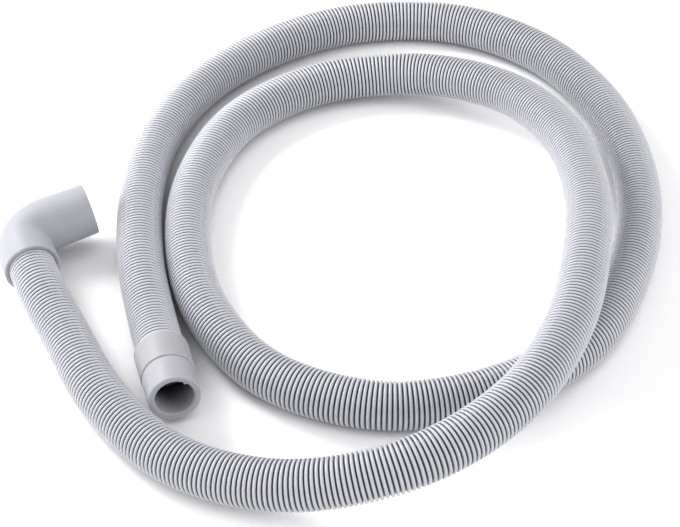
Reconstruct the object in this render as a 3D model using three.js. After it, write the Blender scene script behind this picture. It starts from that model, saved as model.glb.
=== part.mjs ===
import * as THREE from 'three';

// A washing machine drain hose: one long corrugated hose with a right-angled cuff moulded on one
// end and a stepped straight cuff on the other, lying in two loops that cross once.
// Lengths are millimetres and +Z is up. The floor is z = 0, and the origin is on it, under the
// middle of the two cuffs. The straight cuff opens towards -Y.

// The hose, and the room that its sockets leave round it and behind its ends. Its tail, from the
// seat in the straight cuff on, is a tube of its own, with the same room before the rest.
const hoseDiameter = 28;
const hoseBore = 22;
const seatGap = 0.3;
const straightLead = 20;
const tailLength = 110;

// The straight cuff: a collar over the hose, a groove at the step and a slimmer nozzle
const collarWall = 1.5;
const collarLength = 21.5;
const collarTaper = 0.3;
const collarRearEdge = 1;
const collarFrontEdge = 0.5;
const collarSocketDepth = 17;
const stepGrooveWidth = 1.5;
const stepGrooveDepth = 0.6;
const nozzleBore = 22;
const nozzleWall = 4.1;
const nozzleLength = 20.3;
const nozzleTaper = 0.2;
const nozzleLip = 0.6;
const nozzleLeadIn = 0.7;

// The elbow cuff: a short sleeve over the hose, a tight right-angled bend and a longer outlet
const sleeveWall = 2.5;
const sleeveLength = 16;
const sleeveEdge = 0.6;
const sleeveSocketDepth = 15;
const innerCorner = 1.3;
const outletLength = 28;
const outletBore = 25;
const outletWall = 3.2;
const outletLip = 0.6;
const outletLeadIn = 0.7;

// How the two cuffs lie on the floor
const straightCuffPlace = { x: 31.75, y: -51.1 };
const nozzleRise = THREE.MathUtils.degToRad(4);
const elbowPlace = { x: -28.95, y: 38.7 };
const elbowTurn = THREE.MathUtils.degToRad(7.2);
const outletRise = THREE.MathUtils.degToRad(8.6);

// The middle of the hose, from the straight cuff to the elbow. It rests on the floor but for the
// long low hump in which the second loop climbs over the first.
const routePoints = [
  [34, 27, 14.1],
  [45, 91, 14],
  [68, 153, 14],
  [107, 204, 14],
  [163, 239, 14],
  [226, 252, 14],
  [290, 236, 14],
  [335, 191, 14],
  [356, 130, 14],
  [356, 65, 14],
  [340, 2, 14],
  [309, -55, 14],
  [265, -103, 14],
  [204, -126, 14],
  [139, -121, 14],
  [87, -83, 14],
  [64, -23, 14],
  [65, 43, 14],
  [84, 105, 14.1],
  [123, 158, 14.3],
  [181, 184, 15.2],
  [248, 173, 19.5],
  [293, 127, 28.5],
  [309, 66, 36.5],
  [302, 0, 41.5],
  [280, -60, 43],
  [248, -117, 43],
  [202, -164, 42],
  [142, -187, 35.5],
  [77, -176, 23],
  [25, -138, 16],
  [-5, -81, 14.1],
  [-19, -17, 14.7],
];

// How finely the round shapes are divided
const hoseSides = 12;
const hoseSteps = 74;
const tailSteps = 4;
const straightCuffSides = 48;
const elbowSides = 40;
const bendSteps = 10;
const edgeDivisions = 2;

// Radii that follow from the sizes above
const hoseRadius = hoseDiameter / 2;
const socketRadius = hoseRadius + seatGap;
const collarRadius = socketRadius + collarWall;
const nozzleBoreRadius = nozzleBore / 2;
const nozzleRadius = nozzleBoreRadius + nozzleWall;
const sleeveRadius = socketRadius + sleeveWall;
const outletBoreRadius = outletBore / 2;
const outletRadius = outletBoreRadius + outletWall;
const bendRadius = sleeveRadius + innerCorner;
const bendLength = bendRadius * Math.PI / 2;

const quarterTurn = Math.PI / 2;

const hoseMaterial = new THREE.MeshStandardMaterial({
  color: 0xd2d3d8,
  roughness: 0.45,
  metalness: 0,
});

const tailMaterial = hoseMaterial.clone();

const elbowMaterial = new THREE.MeshStandardMaterial({
  color: 0xc2c2cb,
  roughness: 0.55,
  metalness: 0,
});

const straightCuffMaterial = new THREE.MeshStandardMaterial({
  color: 0xc6c6cd,
  roughness: 0.55,
  metalness: 0,
});

// A rounded edge between an end face at the distance `face` along the axis and a wall of the given
// radius: the rear one where the piece starts at that face, and the front one where it ends there
function roundRearEdge(outline, radius, edge, face) {
  outline.lineTo(radius - edge, face);
  outline.absarc(radius - edge, face + edge, edge, -quarterTurn, 0, false);
}

function roundFrontEdge(outline, radius, edge, face) {
  outline.lineTo(radius, face - edge);
  outline.absarc(radius - edge, face - edge, edge, 0, quarterTurn, false);
}

// Turns an outline of radii and distances along the axis round the local Y axis.
function revolve(outline, sides) {
  const points = outline.getPoints(edgeDivisions);
  return new THREE.LatheGeometry(points, sides);
}

// The straight cuff's section, from the hose side to the mouth and back through the bore
function straightCuffOutline() {
  const stepEnd = collarLength + stepGrooveWidth;
  const mouth = collarLength + nozzleLength;
  const grooveRadius = nozzleRadius - stepGrooveDepth;
  const outline = new THREE.Path();
  outline.moveTo(socketRadius, 0);
  roundRearEdge(outline, collarRadius, collarRearEdge, 0);
  roundFrontEdge(outline, collarRadius - collarTaper, collarFrontEdge, collarLength);
  outline.lineTo(grooveRadius, collarLength);
  outline.lineTo(grooveRadius, stepEnd);
  outline.lineTo(nozzleRadius, stepEnd);
  roundFrontEdge(outline, nozzleRadius - nozzleTaper, nozzleLip, mouth);
  outline.lineTo(nozzleBoreRadius + nozzleLeadIn, mouth);
  outline.lineTo(nozzleBoreRadius, mouth - nozzleLeadIn);
  outline.lineTo(nozzleBoreRadius, collarSocketDepth);
  outline.lineTo(socketRadius, collarSocketDepth);
  outline.closePath();
  return outline;
}

// The elbow's section as if it were straight, with the rings that its bend needs
function elbowOutline() {
  const mouth = sleeveLength + bendLength + outletLength;
  const outline = new THREE.Path();
  outline.moveTo(socketRadius, 0);
  roundRearEdge(outline, sleeveRadius, sleeveEdge, 0);
  for (let step = 0; step <= bendSteps; step++) {
    const along = sleeveLength + bendLength * step / bendSteps;
    const share = (along - sleeveLength) / (mouth - sleeveLength);
    outline.lineTo(THREE.MathUtils.lerp(sleeveRadius, outletRadius, share), along);
  }
  roundFrontEdge(outline, outletRadius, outletLip, mouth);
  outline.lineTo(outletBoreRadius + outletLeadIn, mouth);
  outline.lineTo(outletBoreRadius, mouth - outletLeadIn);
  for (let step = bendSteps; step >= 0; step--) {
    outline.lineTo(outletBoreRadius, sleeveLength + bendLength * step / bendSteps);
  }
  outline.lineTo(outletBoreRadius, sleeveSocketDepth);
  outline.lineTo(socketRadius, sleeveSocketDepth);
  outline.closePath();
  return outline;
}

// Bends a shape that runs along +Y through a right angle towards +X, from the distance `start` on.
function bendRight(geometry, start, radius) {
  const position = geometry.attributes.position;
  for (let i = 0; i < position.count; i++) {
    const across = position.getX(i);
    const along = position.getY(i) - start;
    if (along > 0) {
      const angle = Math.min(along / radius, quarterTurn);
      const beyond = along - radius * angle;
      const arm = radius - across;
      position.setX(i, radius - arm * Math.cos(angle) + beyond * Math.sin(angle));
      position.setY(i, start + arm * Math.sin(angle) + beyond * Math.cos(angle));
    }
  }
  return geometry;
}

function straightCuff() {
  const cuff = new THREE.Mesh(revolve(straightCuffOutline(), straightCuffSides), straightCuffMaterial);
  cuff.name = 'straight_cuff';
  const rearEdgeCentre = collarRadius - collarRearEdge;
  const height = rearEdgeCentre * Math.cos(nozzleRise) + collarRearEdge * (1 - Math.sin(nozzleRise));
  cuff.position.set(straightCuffPlace.x, straightCuffPlace.y, height);
  cuff.rotation.set(Math.PI - nozzleRise, 0, 0);
  return cuff;
}

function elbowCuff() {
  const straight = revolve(elbowOutline(), elbowSides);
  const cuff = new THREE.Mesh(bendRight(straight, sleeveLength, bendRadius), elbowMaterial);
  cuff.name = 'elbow_cuff';
  cuff.position.set(elbowPlace.x, elbowPlace.y, sleeveRadius);
  cuff.rotation.set(0, -outletRise, elbowTurn, 'ZYX');
  return cuff;
}

// A point on a cuff's hose-side axis, at a distance into its socket
function onSocketAxis(cuff, depth) {
  cuff.updateMatrixWorld();
  return cuff.localToWorld(new THREE.Vector3(0, depth, 0));
}

function hoseRoute(firstCuff, lastCuff) {
  const points = [
    onSocketAxis(firstCuff, collarSocketDepth - seatGap),
    onSocketAxis(firstCuff, 0),
    onSocketAxis(firstCuff, -straightLead),
  ];
  for (const [x, y, z] of routePoints) {
    points.push(new THREE.Vector3(x, y, z));
  }
  points.push(
    onSocketAxis(lastCuff, -straightLead),
    onSocketAxis(lastCuff, 0),
    onSocketAxis(lastCuff, sleeveSocketDepth - seatGap),
  );
  return new THREE.CatmullRomCurve3(points);
}

// The stretch of a route between two distances along it
class Stretch extends THREE.Curve {
  constructor(route, start, end) {
    super();
    this.route = route;
    this.start = start;
    this.end = end;
  }

  getPoint(share, target) {
    const distance = THREE.MathUtils.lerp(this.start, this.end, share);
    return this.route.getPointAt(distance / this.route.getLength(), target);
  }
}

function regularOutline(Outline, radius) {
  const corners = [];
  for (let side = 0; side < hoseSides; side++) {
    const angle = side * 2 * Math.PI / hoseSides;
    corners.push(new THREE.Vector2(radius * Math.cos(angle), radius * Math.sin(angle)));
  }
  return new Outline(corners);
}

function hoseTube(name, path, steps, material) {
  const section = regularOutline(THREE.Shape, hoseRadius);
  section.holes.push(regularOutline(THREE.Path, hoseBore / 2));
  const geometry = new THREE.ExtrudeGeometry(section, {
    steps,
    bevelEnabled: false,
    extrudePath: path,
  });
  const tube = new THREE.Mesh(geometry, material);
  tube.name = name;
  return tube;
}

const drainHose = new THREE.Group();
const straightEnd = straightCuff();
const elbowEnd = elbowCuff();
const route = hoseRoute(straightEnd, elbowEnd);
const tail = new Stretch(route, 0, tailLength);
const rest = new Stretch(route, tailLength + seatGap, route.getLength());
drainHose.add(
  straightEnd,
  elbowEnd,
  hoseTube('hose_tail', tail, tailSteps, tailMaterial),
  hoseTube('hose', rest, hoseSteps, hoseMaterial),
);

export default drainHose;
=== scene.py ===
import math

import bmesh
import bpy
import numpy as np
from mathutils import Matrix, Vector


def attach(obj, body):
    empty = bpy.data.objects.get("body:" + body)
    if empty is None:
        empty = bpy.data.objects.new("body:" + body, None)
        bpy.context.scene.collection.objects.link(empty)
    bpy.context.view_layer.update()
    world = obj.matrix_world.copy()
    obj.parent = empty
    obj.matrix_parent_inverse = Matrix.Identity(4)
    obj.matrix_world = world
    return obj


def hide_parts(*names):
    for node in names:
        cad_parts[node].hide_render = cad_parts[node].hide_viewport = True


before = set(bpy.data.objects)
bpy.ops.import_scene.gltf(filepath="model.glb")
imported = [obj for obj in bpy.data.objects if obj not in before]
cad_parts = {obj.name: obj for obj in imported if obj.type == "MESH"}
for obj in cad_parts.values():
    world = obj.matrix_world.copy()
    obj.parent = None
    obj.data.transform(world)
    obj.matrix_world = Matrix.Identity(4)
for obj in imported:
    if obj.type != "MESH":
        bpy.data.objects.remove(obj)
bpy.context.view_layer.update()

bl_info = {
    "name": "Washing machine drain hose",
    "version": (1, 0, 0),
    "blender": (4, 5, 0),
    "location": "3D View > Sidebar > Drain hose",
    "description": "Makes a corrugated drain hose with an elbow cuff and a stepped straight cuff",
    "category": "Add Mesh",
}

# The width of the photograph's frame, in pixels, and the camera's sensor, in millimetres
IMAGE_WIDTH = 680
SENSOR_WIDTH = 36

QUARTER_TURN = math.pi / 2
FULL_TURN = 2 * math.pi

# The middle of the hose between its cuffs, from the straight cuff to the elbow
ROUTE_POINTS = [
    (0.034, 0.027, 0.0141),
    (0.045, 0.091, 0.014),
    (0.068, 0.153, 0.014),
    (0.107, 0.204, 0.014),
    (0.163, 0.239, 0.014),
    (0.226, 0.252, 0.014),
    (0.290, 0.236, 0.014),
    (0.335, 0.191, 0.014),
    (0.356, 0.130, 0.014),
    (0.356, 0.065, 0.014),
    (0.340, 0.002, 0.014),
    (0.309, -0.055, 0.014),
    (0.265, -0.103, 0.014),
    (0.204, -0.126, 0.014),
    (0.139, -0.121, 0.014),
    (0.087, -0.083, 0.014),
    (0.064, -0.023, 0.014),
    (0.065, 0.043, 0.014),
    (0.084, 0.105, 0.0141),
    (0.123, 0.158, 0.0143),
    (0.181, 0.184, 0.0152),
    (0.248, 0.173, 0.0195),
    (0.293, 0.127, 0.0285),
    (0.309, 0.066, 0.0365),
    (0.302, 0.000, 0.0415),
    (0.280, -0.060, 0.043),
    (0.248, -0.117, 0.043),
    (0.202, -0.164, 0.042),
    (0.142, -0.187, 0.0355),
    (0.077, -0.176, 0.023),
    (0.025, -0.138, 0.016),
    (-0.005, -0.081, 0.0141),
    (-0.019, -0.017, 0.0147),
]

# How the cuffs lie on the floor, and how the hose sits in them. The seat gap is the room that the
# solids leave round the hose; the visual sockets close up to the ribs, since the cuffs are moulded on.
STRAIGHT_CUFF_PLACE = (0.03175, -0.0511)
NOZZLE_RISE = math.radians(4)
COLLAR_EDGE = 0.001
COLLAR_SOCKET = 0.017
ELBOW_PLACE = (-0.02895, 0.0387)
ELBOW_TURN = math.radians(7.2)
OUTLET_RISE = math.radians(8.6)
SLEEVE_SOCKET = 0.015
SEAT_GAP = 0.0003
SNUG_GAP = 0.00002
STRAIGHT_LEAD = 0.02


def size(name, description, default):
    return bpy.props.FloatProperty(name=name, description=description, default=default, unit="LENGTH")


def colour(name, description, default):
    return bpy.props.FloatVectorProperty(
        name=name,
        description=description,
        default=default,
        subtype="COLOR",
    )


class HoseSettings(bpy.types.PropertyGroup):
    """Sizes and colours of the corrugated hose, with the painted shade in its grooves"""

    diameter: size("Diameter", "Diameter over the ribs", 0.028)
    bore: size("Bore", "Diameter of the bore", 0.022)
    pitch: size("Pitch", "Distance from rib to rib", 0.00263)
    groove_depth: size("Groove depth", "Depth of the grooves between the ribs", 0.0021)
    rib_colour: colour("Rib colour", "Colour of the ribs", (0.71, 0.713, 0.77))
    # The groove colour is painted shade: a dark colour standing in for the shade down in the narrow
    # grooves
    painted_groove_shade: colour("Groove colour", "Colour down in the grooves", (0.045, 0.045, 0.065))


class StraightCuffSettings(bpy.types.PropertyGroup):
    """Sizes and colour of the stepped straight cuff"""

    collar_wall: size("Collar wall", "Wall of the collar over the hose", 0.0015)
    collar_length: size("Collar length", "Length of the collar", 0.0215)
    collar_taper: size("Collar taper", "How much the collar's radius narrows", 0.0003)
    step_width: size("Step groove width", "Width of the groove at the step", 0.0015)
    step_depth: size("Step groove depth", "Depth of the groove below the nozzle", 0.0006)
    nozzle_bore: size("Nozzle bore", "Diameter of the bore at the mouth", 0.022)
    nozzle_wall: size("Nozzle wall", "Wall of the nozzle at the step", 0.0041)
    nozzle_length: size("Nozzle length", "Length from the collar to the mouth", 0.0203)
    nozzle_taper: size("Nozzle taper", "How much the nozzle's radius narrows", 0.0002)
    colour: colour("Colour", "Colour of the moulded plastic", (0.495, 0.495, 0.53))


class ElbowCuffSettings(bpy.types.PropertyGroup):
    """Sizes and colour of the right-angled cuff"""

    sleeve_wall: size("Sleeve wall", "Wall of the sleeve over the hose", 0.0025)
    sleeve_length: size("Sleeve length", "Length from the hose side to the bend", 0.016)
    inner_corner: size("Inner corner", "Radius on the inside of the bend", 0.0013)
    outlet_length: size("Outlet length", "Length from the bend to the mouth", 0.028)
    outlet_bore: size("Outlet bore", "Diameter of the outlet's bore", 0.025)
    outlet_wall: size("Outlet wall", "Wall at the outlet's mouth", 0.0032)
    colour: colour("Colour", "Colour of the moulded plastic", (0.50, 0.50, 0.555))


class StageSettings(bpy.types.PropertyGroup):
    """The camera, the light and the floor"""

    camera_place: bpy.props.FloatVectorProperty(
        name="Camera place",
        description="Where the camera stands",
        default=(-0.0675, -0.8368, 0.740),
        subtype="XYZ",
    )
    camera_pitch: bpy.props.FloatProperty(
        name="Camera pitch",
        description="How far the camera looks down",
        default=math.radians(40),
        subtype="ANGLE",
    )
    camera_turn: bpy.props.FloatProperty(
        name="Camera turn",
        description="How far the camera turns to the right",
        default=math.radians(14.5),
        subtype="ANGLE",
    )
    focal_pixels: bpy.props.FloatProperty(
        name="Focal length",
        description="Focal length in pixels of the photograph's frame",
        default=1895,
    )
    ambient: bpy.props.FloatProperty(
        name="Ambient light",
        description="Strength of the even light from all round",
        default=0.54,
    )
    key_power: bpy.props.FloatProperty(
        name="Key light",
        description="Power of the lamp behind the hose on the left",
        default=8.8,
        unit="POWER",
    )
    front_power: bpy.props.FloatProperty(
        name="Front light",
        description="Power of the wide lamp in front on the right",
        default=9.2,
        unit="POWER",
    )
    low_power: bpy.props.FloatProperty(
        name="Low light",
        description="Power of the low lamp behind the elbow",
        default=3.0,
        unit="POWER",
    )
    side_power: bpy.props.FloatProperty(
        name="Side light",
        description="Power of the wide lamp on the left",
        default=8.3,
        unit="POWER",
    )
    floor_gain: bpy.props.FloatProperty(
        name="Floor gain",
        description="How many times whiter the camera sees the floor than the light that it gives back",
        default=1.68,
    )


def settings(name):
    return getattr(bpy.context.scene, name)


def hose_radius():
    return settings("drain_hose").diameter / 2


def socket_radius():
    return hose_radius() + SEAT_GAP


def snug_radius():
    """The sockets' own radius, close round the ribs"""
    return hose_radius() + SNUG_GAP


def collar_radius():
    return socket_radius() + settings("straight_cuff").collar_wall


def sleeve_radius():
    return socket_radius() + settings("elbow_cuff").sleeve_wall


def straight_cuff_frame():
    """Takes the straight cuff's own frame, with its axis along +Y, to its place on the floor"""
    height = (collar_radius() - COLLAR_EDGE) * math.cos(NOZZLE_RISE)
    height += COLLAR_EDGE * (1 - math.sin(NOZZLE_RISE))
    place = Matrix.Translation((*STRAIGHT_CUFF_PLACE, height))
    return place @ Matrix.Rotation(math.pi - NOZZLE_RISE, 4, "X")


def elbow_frame():
    """Takes the elbow's own frame, with its hose-side axis along +Y, to its place on the floor"""
    place = Matrix.Translation((*ELBOW_PLACE, sleeve_radius()))
    return place @ Matrix.Rotation(ELBOW_TURN, 4, "Z") @ Matrix.Rotation(-OUTLET_RISE, 4, "Y")


def curve_through(points, steps):
    """A centripetal curve through the points, with so many steps from each to the next"""
    points = np.array(points)
    before_first = 2 * points[0] - points[1]
    after_last = 2 * points[-1] - points[-2]
    padded = np.vstack([before_first, points, after_last])
    share = np.linspace(0, 1, steps, endpoint=False)[:, None]
    spans = []
    for before, start, end, after in zip(padded, padded[1:], padded[2:], padded[3:]):
        lead = math.sqrt(np.linalg.norm(start - before))
        span = math.sqrt(np.linalg.norm(end - start))
        trail = math.sqrt(np.linalg.norm(after - end))
        leave = (start - before) / lead - (end - before) / (lead + span) + (end - start) / span
        arrive = (end - start) / span - (after - start) / (span + trail) + (after - end) / trail
        leave *= span
        arrive *= span
        square = 3 * (end - start) - 2 * leave - arrive
        cube = 2 * (start - end) + leave + arrive
        spans.append(start + leave * share + square * share**2 + cube * share**3)
    spans.append(points[-1:])
    return np.vstack(spans)


def arc_length(line):
    """The distance of each point of the line from its start"""
    steps = np.linalg.norm(np.diff(line, axis=0), axis=1)
    return np.concatenate([[0], np.cumsum(steps)])


def at_distances(line, distances):
    along = arc_length(line)
    return np.stack([np.interp(distances, along, line[:, axis]) for axis in range(3)], axis=1)


def eased(line, reach):
    """The line with each point averaged over so many neighbours to either side, and its ends kept"""
    before = line[0] + (line[0] - line[1]) * np.arange(reach, 0, -1)[:, None]
    after = line[-1] + (line[-1] - line[-2]) * np.arange(1, reach + 1)[:, None]
    padded = np.vstack([before, line, after])
    weights = np.hanning(2 * reach + 3)[1:-1]
    weights /= weights.sum()
    return np.stack([np.convolve(padded[:, axis], weights, "valid") for axis in range(3)], axis=1)


def hose_line():
    """The hose's centreline, from its seat in the straight cuff to its seat in the elbow"""
    steps_between_points = 60
    line_step = 0.001
    ease_reach = 14
    straight = straight_cuff_frame()
    elbow = elbow_frame()
    points = [straight @ Vector((0, depth, 0)) for depth in (COLLAR_SOCKET - SEAT_GAP, 0, -STRAIGHT_LEAD)]
    points += ROUTE_POINTS
    points += [elbow @ Vector((0, depth, 0)) for depth in (-STRAIGHT_LEAD, 0, SLEEVE_SOCKET - SEAT_GAP)]
    curve = curve_through(points, steps_between_points)
    length = arc_length(curve)[-1]
    line = at_distances(curve, np.linspace(0, length, round(length / line_step)))
    return eased(line, ease_reach)


def rib_outline(count, pitch):
    """The hose's outside as pairs of distance and radius, five for each rib and the groove after it.
    Within a rib the distances are shares of the pitch"""
    shoulder_drop = 0.00045
    crest = hose_radius()
    shoulder = crest - shoulder_drop
    groove_floor = crest - settings("drain_hose").groove_depth
    one_rib = [(0, shoulder), (0.15, crest), (0.46, crest), (0.61, shoulder), (0.80, groove_floor)]
    return [((rib + share) * pitch, radius) for rib in range(count) for share, radius in one_rib]


def spun(outline, axis, steps):
    """A closed outline turned round an axis. Its points hold the distance along and out from the axis"""
    along = Vector(axis)
    out = along.orthogonal().normalized()
    shape = bmesh.new()
    corners = [shape.verts.new(along * distance + out * radius) for distance, radius in outline]
    sides = [shape.edges.new(pair) for pair in zip(corners, corners[1:] + corners[:1])]
    bmesh.ops.spin(
        shape,
        geom=corners + sides,
        cent=(0, 0, 0),
        axis=axis,
        angle=FULL_TURN,
        steps=steps,
        use_merge=True,
    )
    bmesh.ops.recalc_face_normals(shape, faces=shape.faces)
    return shape


def smooth_object(shape, name, material):
    """Makes an object of a bmesh, shaded smooth, with one material"""
    for face in shape.faces:
        face.smooth = True
    mesh = bpy.data.meshes.new(name)
    shape.to_mesh(mesh)
    shape.free()
    mesh.materials.append(material)
    piece = bpy.data.objects.new(name, mesh)
    bpy.context.scene.collection.objects.link(piece)
    return piece


def laid_along(coordinates, line):
    """Moves points of a straight tube on the X axis to where they are on a tube along the line"""
    along = arc_length(line)
    heading = np.gradient(line, along, axis=0)
    distance = coordinates[:, 0]
    middle = at_distances(line, distance)
    ahead = np.stack([np.interp(distance, along, heading[:, axis]) for axis in range(3)], axis=1)
    ahead /= np.linalg.norm(ahead, axis=1)[:, None]
    left = np.cross((0, 0, 1), ahead)
    left /= np.linalg.norm(left, axis=1)[:, None]
    above = np.cross(ahead, left)
    return middle + left * coordinates[:, 1:2] + above * coordinates[:, 2:3]


def make_hose_piece():
    """Makes the corrugated hose as one object, and returns it with its centreline"""
    around = 22
    bore_step = 0.02
    hose = settings("drain_hose")
    line = hose_line()
    length = arc_length(line)[-1]
    count = round(length / hose.pitch)
    bore_radius = hose.bore / 2
    bore_rings = round(length / bore_step)
    outline = [(0, bore_radius)]
    outline += rib_outline(count, length / count)
    outline += [(length * ring / bore_rings, bore_radius) for ring in range(bore_rings, 0, -1)]
    shape = spun(outline, (1, 0, 0), around)
    piece = smooth_object(shape, "corrugated_hose", hose_plastic())
    mesh = piece.data
    coordinates = np.empty(len(mesh.vertices) * 3)
    mesh.vertices.foreach_get("co", coordinates)
    coordinates = coordinates.reshape(-1, 3)
    depth = (hose_radius() - np.hypot(coordinates[:, 1], coordinates[:, 2])) / hose.groove_depth
    attribute = mesh.attributes.new("groove", "FLOAT", "POINT")
    attribute.data.foreach_set("value", np.clip(depth, 0, 1))
    mesh.vertices.foreach_set("co", laid_along(coordinates, line).ravel())
    mesh.update()
    return piece, line


def ring_edges(shape, distance, radius):
    """The edges of a spun shape about the Y axis that lie on one ring"""
    near = 1e-6

    def on_ring(corner):
        at_distance = abs(corner.co.y - distance) < near
        return at_distance and abs(math.hypot(corner.co.x, corner.co.z) - radius) < near

    return [edge for edge in shape.edges if all(on_ring(corner) for corner in edge.verts)]


def round_ring(shape, distance, radius, size, segments=5):
    bmesh.ops.bevel(
        shape,
        geom=ring_edges(shape, distance, radius),
        offset=size,
        offset_type="OFFSET",
        segments=segments,
        profile=0.5,
        affect="EDGES",
        material=-1,
    )


def add_gate_mark(shape, angle, radius, distance):
    """The small rounded mark that the mould leaves, at an angle from the top round the axis"""
    half_sizes = (0.0011, 0.0009, 0.0006)
    place = Matrix.Rotation(-angle, 4, "Y") @ Matrix.Translation((0, distance, -radius))
    scale = Matrix.Diagonal((*half_sizes, 1))
    bmesh.ops.create_uvsphere(shape, u_segments=12, v_segments=8, radius=1, matrix=place @ scale)


def straight_cuff_shape():
    """The stepped cuff, turned from its section and put in its place"""
    cuff = settings("straight_cuff")
    around = 96
    lip = 0.0006
    lead_in = 0.0011
    collar_front = 0.0005
    gate_mark_angle = math.radians(33)
    gate_mark_depth = 0.0003
    socket = snug_radius()
    collar = collar_radius()
    collar_end = collar - cuff.collar_taper
    bore = cuff.nozzle_bore / 2
    nozzle = bore + cuff.nozzle_wall
    nozzle_end = nozzle - cuff.nozzle_taper
    groove = nozzle - cuff.step_depth
    step_end = cuff.collar_length + cuff.step_width
    mouth = cuff.collar_length + cuff.nozzle_length
    outline = [
        (0, socket),
        (0, collar),
        (cuff.collar_length, collar_end),
        (cuff.collar_length, groove),
        (step_end, groove),
        (step_end, nozzle),
        (mouth, nozzle_end),
        (mouth, bore),
        (COLLAR_SOCKET, bore),
        (COLLAR_SOCKET, socket),
    ]
    shape = spun(outline, (0, 1, 0), around)
    round_ring(shape, 0, collar, COLLAR_EDGE)
    round_ring(shape, cuff.collar_length, collar_end, collar_front)
    round_ring(shape, step_end, nozzle, collar_front)
    round_ring(shape, mouth, nozzle_end, lip)
    round_ring(shape, mouth, bore, lead_in)
    add_gate_mark(shape, gate_mark_angle, bore + gate_mark_depth, mouth - gate_mark_depth)
    bmesh.ops.transform(shape, matrix=straight_cuff_frame(), verts=shape.verts)
    return shape


def bend_right(shape, start, radius):
    """Bends a shape along +Y through a right angle towards +X, from so far along"""
    for corner in shape.verts:
        along = corner.co.y - start
        if along > 0:
            angle = min(along / radius, QUARTER_TURN)
            beyond = along - radius * angle
            arm = radius - corner.co.x
            corner.co.x = radius - arm * math.cos(angle) + beyond * math.sin(angle)
            corner.co.y = start + arm * math.sin(angle) + beyond * math.cos(angle)


def elbow_shape():
    """The elbow, turned as a straight piece, bent through its corner and put in its place"""
    elbow = settings("elbow_cuff")
    around = 96
    bend_steps = 28
    sleeve_edge = 0.0006
    lip = 0.0009
    lead_in = 0.0007
    socket = snug_radius()
    sleeve = sleeve_radius()
    bore = elbow.outlet_bore / 2
    outlet = bore + elbow.outlet_wall
    bend_radius = sleeve + elbow.inner_corner
    bend_length = bend_radius * QUARTER_TURN
    mouth = elbow.sleeve_length + bend_length + elbow.outlet_length
    bend = [elbow.sleeve_length + bend_length * step / bend_steps for step in range(bend_steps + 1)]

    def outside(along):
        share = (along - elbow.sleeve_length) / (mouth - elbow.sleeve_length)
        return sleeve + (outlet - sleeve) * share

    outline = [(0, socket), (0, sleeve)]
    outline += [(along, outside(along)) for along in bend]
    outline += [(mouth, outlet), (mouth, bore)]
    outline += [(along, bore) for along in reversed(bend)]
    outline += [(SLEEVE_SOCKET, bore), (SLEEVE_SOCKET, socket)]
    shape = spun(outline, (0, 1, 0), around)
    round_ring(shape, 0, sleeve, sleeve_edge)
    round_ring(shape, mouth, outlet, lip)
    round_ring(shape, mouth, bore, lead_in)
    bend_right(shape, elbow.sleeve_length, bend_radius)
    bmesh.ops.transform(shape, matrix=elbow_frame(), verts=shape.verts)
    return shape


def new_material(name):
    material = bpy.data.materials.new(name)
    material.use_nodes = True
    return material, material.node_tree.nodes, material.node_tree.links


def moulded_skin_group():
    """The faint mottle and fine grain of moulded plastic, shared by every piece"""
    name = "Moulded skin"
    mottle_scale = 90
    grain_scale = 1800
    roughness_spread = 0.06
    if name in bpy.data.node_groups:
        return bpy.data.node_groups[name]
    group = bpy.data.node_groups.new(name, "ShaderNodeTree")
    sockets = group.interface
    sockets.new_socket("Colour", in_out="INPUT", socket_type="NodeSocketColor")
    sockets.new_socket("Mottle", in_out="INPUT", socket_type="NodeSocketFloat")
    sockets.new_socket("Roughness", in_out="INPUT", socket_type="NodeSocketFloat")
    sockets.new_socket("Colour", in_out="OUTPUT", socket_type="NodeSocketColor")
    sockets.new_socket("Roughness", in_out="OUTPUT", socket_type="NodeSocketFloat")
    sockets.new_socket("Height", in_out="OUTPUT", socket_type="NodeSocketFloat")
    nodes = group.nodes
    links = group.links
    given = nodes.new("NodeGroupInput")
    result = nodes.new("NodeGroupOutput")
    place = nodes.new("ShaderNodeTexCoord")
    clouds = nodes.new("ShaderNodeTexNoise")
    clouds.inputs["Scale"].default_value = mottle_scale
    clouds.inputs["Detail"].default_value = 3
    grain = nodes.new("ShaderNodeTexNoise")
    grain.inputs["Scale"].default_value = grain_scale
    grain.inputs["Detail"].default_value = 2
    links.new(place.outputs["Object"], clouds.inputs["Vector"])
    links.new(place.outputs["Object"], grain.inputs["Vector"])
    spread = nodes.new("ShaderNodeMapRange")
    spread.inputs["From Min"].default_value = 0.3
    spread.inputs["From Max"].default_value = 0.7
    spread.inputs["To Min"].default_value = -1
    links.new(clouds.outputs["Fac"], spread.inputs["Value"])
    shade = nodes.new("ShaderNodeMath")
    shade.operation = "MULTIPLY_ADD"
    shade.inputs[2].default_value = 1
    links.new(spread.outputs["Result"], shade.inputs[0])
    links.new(given.outputs["Mottle"], shade.inputs[1])
    tint = nodes.new("ShaderNodeVectorMath")
    tint.operation = "SCALE"
    links.new(given.outputs["Colour"], tint.inputs[0])
    links.new(shade.outputs["Value"], tint.inputs["Scale"])
    links.new(tint.outputs["Vector"], result.inputs["Colour"])
    gloss = nodes.new("ShaderNodeMath")
    gloss.operation = "MULTIPLY_ADD"
    gloss.inputs[1].default_value = roughness_spread
    links.new(spread.outputs["Result"], gloss.inputs[0])
    links.new(given.outputs["Roughness"], gloss.inputs[2])
    links.new(gloss.outputs["Value"], result.inputs["Roughness"])
    links.new(grain.outputs["Fac"], result.inputs["Height"])
    return group


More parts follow.
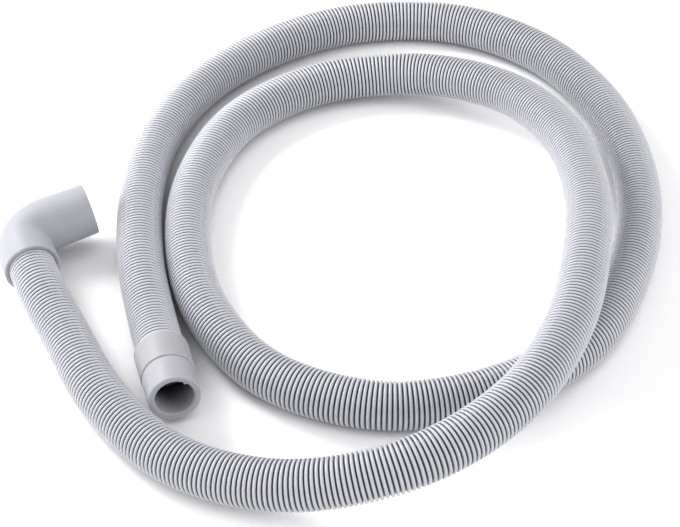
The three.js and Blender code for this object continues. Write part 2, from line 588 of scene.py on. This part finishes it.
def add_skin(nodes, links, shader, roughness, mottle, grain_depth):
    """Feeds a shader from the shared skin group, and returns the group's node"""
    grain_strength = 0.3
    skin = nodes.new("ShaderNodeGroup")
    skin.node_tree = moulded_skin_group()
    skin.inputs["Mottle"].default_value = mottle
    skin.inputs["Roughness"].default_value = roughness
    bump = nodes.new("ShaderNodeBump")
    bump.inputs["Strength"].default_value = grain_strength
    bump.inputs["Distance"].default_value = grain_depth
    links.new(skin.outputs["Height"], bump.inputs["Height"])
    links.new(bump.outputs["Normal"], shader.inputs["Normal"])
    links.new(skin.outputs["Colour"], shader.inputs["Base Color"])
    links.new(skin.outputs["Roughness"], shader.inputs["Roughness"])
    return skin


def hose_plastic():
    """Glossy plastic with painted shade from just below the ribs' shoulders down to the groove's floor"""
    shade_start = 0.15
    shade_end = 0.4
    hose = settings("drain_hose")
    material, nodes, links = new_material("Corrugated hose plastic")
    shader = nodes["Principled BSDF"]
    skin = add_skin(nodes, links, shader, roughness=0.28, mottle=0.02, grain_depth=0.00002)
    depth = nodes.new("ShaderNodeAttribute")
    depth.attribute_name = "groove"
    groove_shade_mask = nodes.new("ShaderNodeMapRange")
    groove_shade_mask.inputs["From Min"].default_value = shade_start
    groove_shade_mask.inputs["From Max"].default_value = shade_end
    links.new(depth.outputs["Fac"], groove_shade_mask.inputs["Value"])
    # Blends the rib colour into painted shade below the ribs' shoulders, where the grooves lie in shade
    blend = nodes.new("ShaderNodeMix")
    blend.data_type = "RGBA"
    blend.inputs["A"].default_value = (*hose.rib_colour, 1)
    blend.inputs["B"].default_value = (*hose.painted_groove_shade, 1)
    links.new(groove_shade_mask.outputs["Result"], blend.inputs["Factor"])
    links.new(blend.outputs["Result"], skin.inputs["Colour"])
    return material


def cuff_plastic(name, cuff_colour, glow, glow_depth):
    """Moulded plastic that lets a little light through its thin walls"""
    material, nodes, links = new_material(name)
    shader = nodes["Principled BSDF"]
    skin = add_skin(nodes, links, shader, roughness=0.5, mottle=0.025, grain_depth=0.00003)
    skin.inputs["Colour"].default_value = (*cuff_colour, 1)
    shader.inputs["Subsurface Weight"].default_value = glow
    shader.inputs["Subsurface Radius"].default_value = (1, 1, 1)
    shader.inputs["Subsurface Scale"].default_value = glow_depth
    return material


def seen_rays(nodes, links):
    """One for what the camera sees, straight on or in a shiny or clear surface, and zero for light"""
    rays = nodes.new("ShaderNodeLightPath")
    seen = nodes.new("ShaderNodeMath")
    seen.operation = "MAXIMUM"
    links.new(rays.outputs["Is Camera Ray"], seen.inputs[0])
    links.new(rays.outputs["Is Glossy Ray"], seen.inputs[1])
    either = nodes.new("ShaderNodeMath")
    either.operation = "MAXIMUM"
    links.new(seen.outputs["Value"], either.inputs[0])
    links.new(rays.outputs["Is Transmission Ray"], either.inputs[1])
    return either.outputs["Value"]


def floor_paint():
    """White floor that the camera sees brighter than the light it gives back, with painted shade in
    narrow gaps
    """
    floor_white = 0.9
    gap_shade_gain = 0.8
    gap_reach = 0.05
    closed_in = 0.1
    open_enough = 0.5
    material, nodes, links = new_material("White floor")
    nodes.remove(nodes["Principled BSDF"])
    paint = nodes.new("ShaderNodeBsdfDiffuse")
    white = nodes.new("ShaderNodeMapRange")
    white.inputs["To Min"].default_value = floor_white
    # Painted shade: the floor's seen white comes down where the floor is closed in, in narrow gaps
    # between the strands and cuffs
    openness = nodes.new("ShaderNodeAmbientOcclusion")
    openness.inputs["Distance"].default_value = gap_reach
    gap_shaded_white = nodes.new("ShaderNodeMapRange")
    gap_shaded_white.inputs["From Min"].default_value = closed_in
    gap_shaded_white.inputs["From Max"].default_value = open_enough
    gap_shaded_white.inputs["To Min"].default_value = floor_white * gap_shade_gain
    gap_shaded_white.inputs["To Max"].default_value = floor_white * settings("stage").floor_gain
    links.new(openness.outputs["AO"], gap_shaded_white.inputs["Value"])
    links.new(gap_shaded_white.outputs["Result"], white.inputs["To Max"])
    links.new(seen_rays(nodes, links), white.inputs["Value"])
    links.new(white.outputs["Result"], paint.inputs["Color"])
    links.new(paint.outputs["BSDF"], nodes["Material Output"].inputs["Surface"])
    return material


def white_world(strength):
    """Even light from all round, with plain white behind for the camera"""
    world = bpy.data.worlds.new("Studio")
    bpy.context.scene.world = world
    world.use_nodes = True
    nodes = world.node_tree.nodes
    links = world.node_tree.links
    background = nodes["Background"]
    background.inputs["Color"].default_value = (1, 1, 1, 1)
    level = nodes.new("ShaderNodeMapRange")
    level.inputs["To Min"].default_value = strength
    links.new(seen_rays(nodes, links), level.inputs["Value"])
    links.new(level.outputs["Result"], background.inputs["Strength"])


def aim(obj, place, target):
    direction = Vector(target) - Vector(place)
    obj.location = place
    obj.rotation_euler = direction.to_track_quat("-Z", "Y").to_euler()


def soft_lamp(name, place, target, width, power):
    lamp = bpy.data.lights.new(name, "AREA")
    lamp.shape = "SQUARE"
    lamp.size = width
    lamp.energy = power
    obj = bpy.data.objects.new(name, lamp)
    bpy.context.scene.collection.objects.link(obj)
    aim(obj, place, target)


class DRAINHOSE_OT_stage(bpy.types.Operator):
    """Sets up the camera, the floor and the soft studio light"""

    bl_idname = "drain_hose.stage"
    bl_label = "Make the stage"

    def execute(self, context):
        stage = settings("stage")
        floor_width = 6
        camera = bpy.data.cameras.new("Camera")
        camera.sensor_width = SENSOR_WIDTH
        camera.lens = stage.focal_pixels * SENSOR_WIDTH / IMAGE_WIDTH
        eye = bpy.data.objects.new("Camera", camera)
        context.scene.collection.objects.link(eye)
        eye.location = stage.camera_place
        eye.rotation_euler = (QUARTER_TURN - stage.camera_pitch, 0, -stage.camera_turn)
        context.scene.camera = eye
        context.scene.view_settings.view_transform = "Standard"
        shape = bmesh.new()
        bmesh.ops.create_grid(shape, x_segments=1, y_segments=1, size=floor_width / 2)
        floor = smooth_object(shape, "floor", floor_paint())
        white_world(stage.ambient)
        small = 0.5
        wide = 1.0
        middle = (0.16, 0, 0)
        far_left = (-0.04, 0.24, 0)
        soft_lamp("Key lamp", (-0.5, 0.8, 0.75), far_left, small, stage.key_power)
        soft_lamp("Front lamp", (1.34, -1.18, 0.67), middle, wide, stage.front_power)
        soft_lamp("Low lamp", (-1.0, 0.6, 0.35), middle, small, stage.low_power)
        soft_lamp("Side lamp", (-1.51, 0.0, 0.67), middle, wide, stage.side_power)
        return {"FINISHED"}


class DRAINHOSE_OT_straight_cuff(bpy.types.Operator):
    """Makes the stepped straight cuff"""

    bl_idname = "drain_hose.straight_cuff"
    bl_label = "Make the straight cuff"

    def execute(self, context):
        cuff_colour = settings("straight_cuff").colour
        paint = cuff_plastic("Straight cuff plastic", cuff_colour, glow=0.8, glow_depth=0.006)
        piece = smooth_object(straight_cuff_shape(), "straight_moulding", paint)
        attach(piece, "root")
        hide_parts("straight_cuff")
        return {"FINISHED"}


class DRAINHOSE_OT_elbow_cuff(bpy.types.Operator):
    """Makes the right-angled elbow cuff"""

    bl_idname = "drain_hose.elbow_cuff"
    bl_label = "Make the elbow cuff"

    def execute(self, context):
        elbow_colour = settings("elbow_cuff").colour
        paint = cuff_plastic("Elbow plastic", elbow_colour, glow=0.5, glow_depth=0.003)
        piece = smooth_object(elbow_shape(), "elbow_moulding", paint)
        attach(piece, "root")
        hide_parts("elbow_cuff")
        return {"FINISHED"}


class DRAINHOSE_OT_hose(bpy.types.Operator):
    """Makes the corrugated hose between the two cuffs"""

    bl_idname = "drain_hose.hose"
    bl_label = "Make the hose"

    def execute(self, context):
        piece, line = make_hose_piece()
        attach(piece, "root")
        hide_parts("hose", "hose_tail")
        elbow_frame() @ Vector((0, 0, 0))
        settings("drain_hose").diameter
        return {"FINISHED"}


class DRAINHOSE_PT_panel(bpy.types.Panel):
    """Lists the steps that make the drain hose"""

    bl_idname = "DRAINHOSE_PT_panel"
    bl_label = "Drain hose"
    bl_space_type = "VIEW_3D"
    bl_region_type = "UI"
    bl_category = "Drain hose"

    def draw(self, context):
        for group in SETTINGS:
            box = self.layout.box()
            owner = settings(group)
            for name in type(owner).__annotations__:
                box.prop(owner, name)
        for step in STEPS:
            self.layout.operator(step.bl_idname)


SETTINGS = {
    "stage": StageSettings,
    "drain_hose": HoseSettings,
    "elbow_cuff": ElbowCuffSettings,
    "straight_cuff": StraightCuffSettings,
}

STEPS = [
    DRAINHOSE_OT_stage,
    DRAINHOSE_OT_straight_cuff,
    DRAINHOSE_OT_elbow_cuff,
    DRAINHOSE_OT_hose,
]


def register():
    for cls in (*SETTINGS.values(), *STEPS, DRAINHOSE_PT_panel):
        bpy.utils.register_class(cls)
    for name, cls in SETTINGS.items():
        setattr(bpy.types.Scene, name, bpy.props.PointerProperty(type=cls))


def unregister():
    for name in SETTINGS:
        delattr(bpy.types.Scene, name)
    for cls in (DRAINHOSE_PT_panel, *reversed(STEPS), *SETTINGS.values()):
        bpy.utils.unregister_class(cls)


def main():
    register()
    bpy.ops.drain_hose.stage()
    bpy.ops.drain_hose.straight_cuff()
    bpy.ops.drain_hose.elbow_cuff()
    bpy.ops.drain_hose.hose()


if __name__ == "__main__":
    main()
